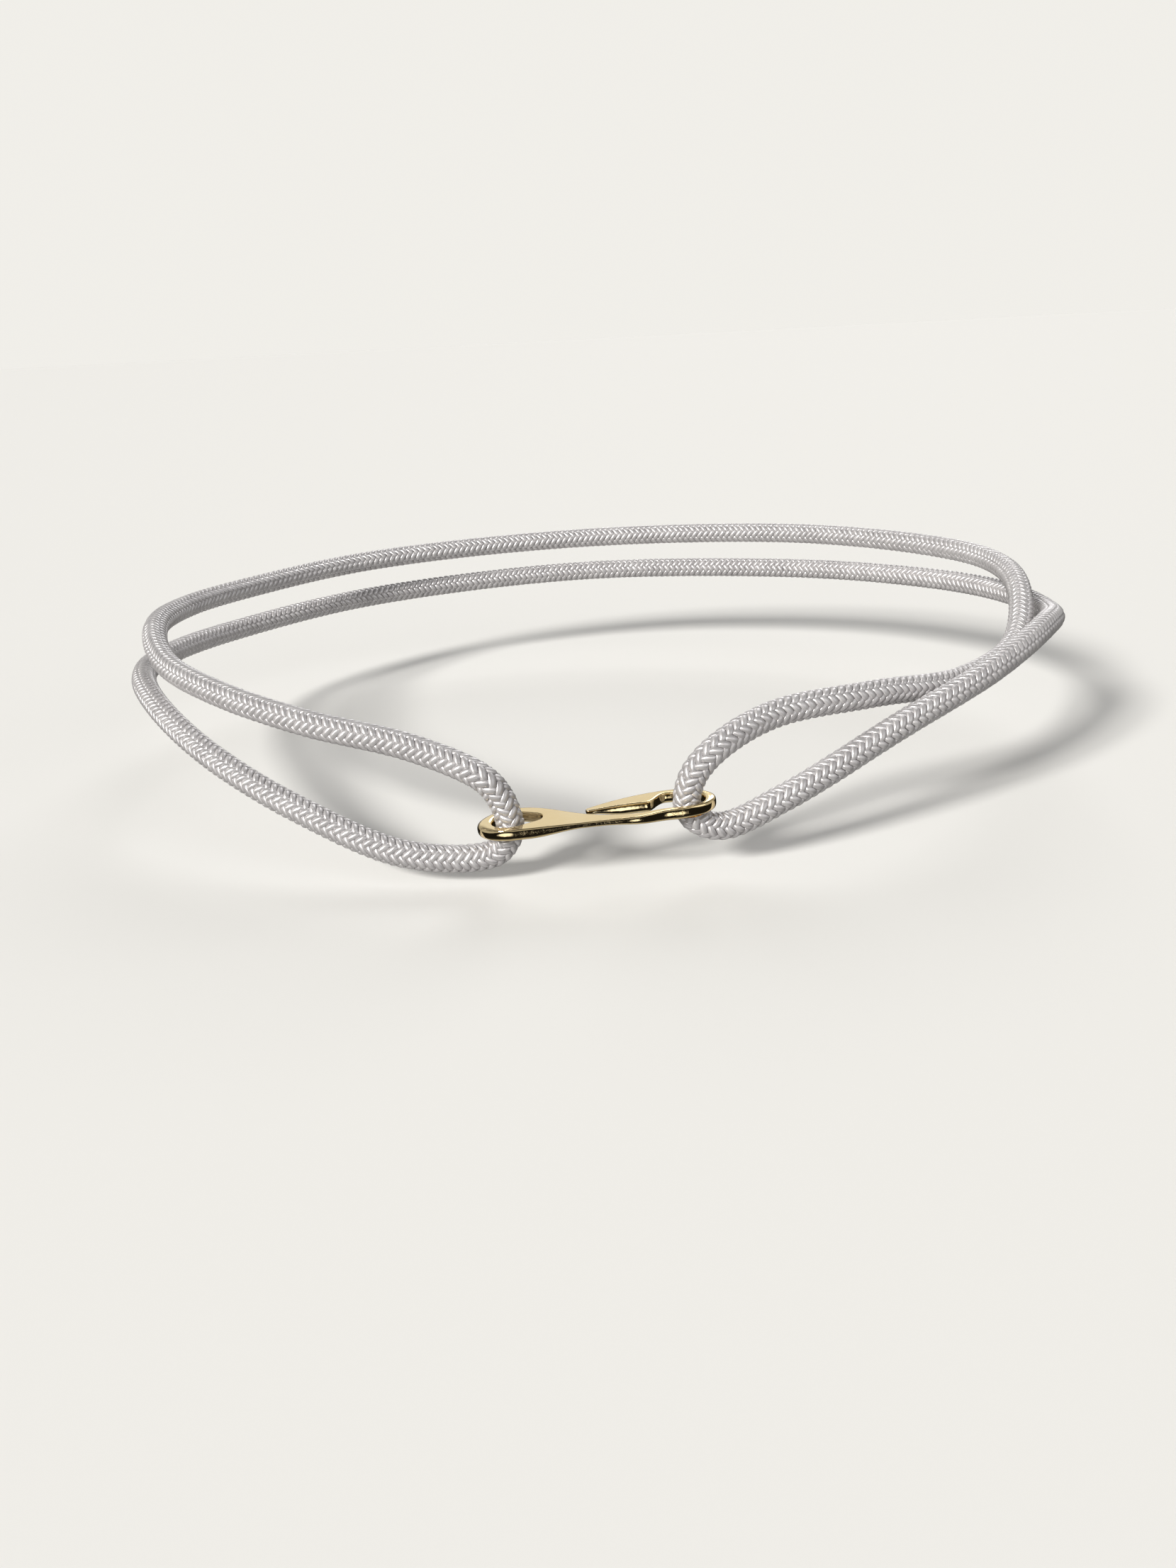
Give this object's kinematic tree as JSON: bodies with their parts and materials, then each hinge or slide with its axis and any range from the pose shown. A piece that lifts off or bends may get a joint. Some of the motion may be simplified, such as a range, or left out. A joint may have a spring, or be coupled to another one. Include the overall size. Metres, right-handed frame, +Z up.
{
  "type": "rope belt",
  "caption": "Rope belt: an endless white braided rope doubled round the hips, its two ends joined in front by a flat gold hook clasp.",
  "frame": {"origin": "middle of the waist hollow, at the level of the belt at the wearer's sides", "axes": "+Z up, along the wearer; -Y the wearer's front, where the clasp is; +X to the right seen from the front, the hooked side of the clasp"},
  "size_m": [0.2924, 0.2203, 0.0499],
  "materials": {
    "rope": "satin braid, pearly white",
    "clasp": "polished pale gold"
  },
  "bodies": {
    "root": {"rope_loop": "rope", "hook_clasp": "clasp"}
  },
  "joints": []
}
